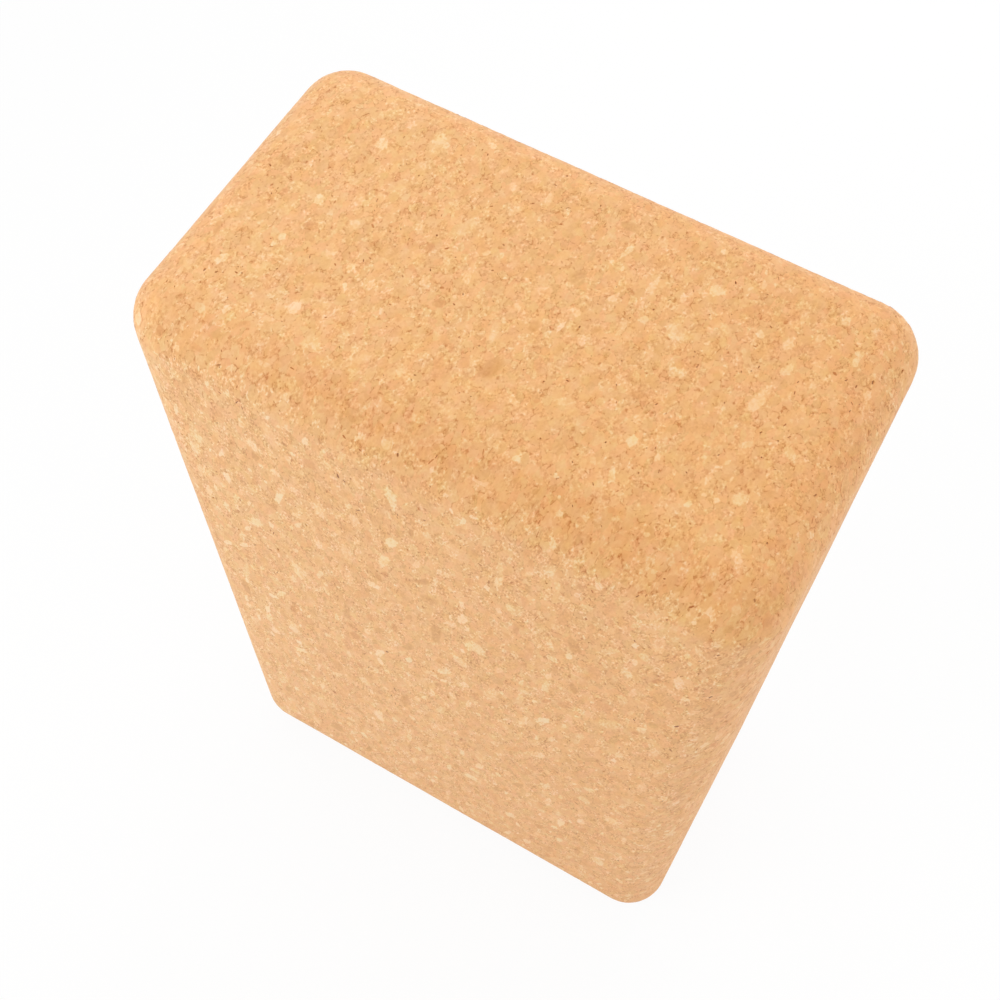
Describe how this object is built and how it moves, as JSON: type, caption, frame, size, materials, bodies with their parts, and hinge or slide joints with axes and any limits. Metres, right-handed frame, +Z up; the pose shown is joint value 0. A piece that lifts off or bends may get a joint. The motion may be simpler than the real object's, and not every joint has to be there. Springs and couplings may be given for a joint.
{
  "type": "yoga block",
  "caption": "Brick of pressed cork with rounded edges, set on an end, a side or a broad face to support a hand, foot or hip in yoga, pilates and therapy exercises.",
  "frame": {"origin": "middle of the end that the block stands on", "axes": "+Z up the length, +X across the width, to the right as seen from the front, +Y through the thickness, from the front broad face to the back one"},
  "size_m": [0.14, 0.08, 0.225],
  "materials": {
    "cork": "sanded, unsealed agglomerated cork: pale chips and dark bark specks in a fine tan grain"
  },
  "bodies": {
    "root": {"cork_block": "cork"}
  },
  "joints": []
}
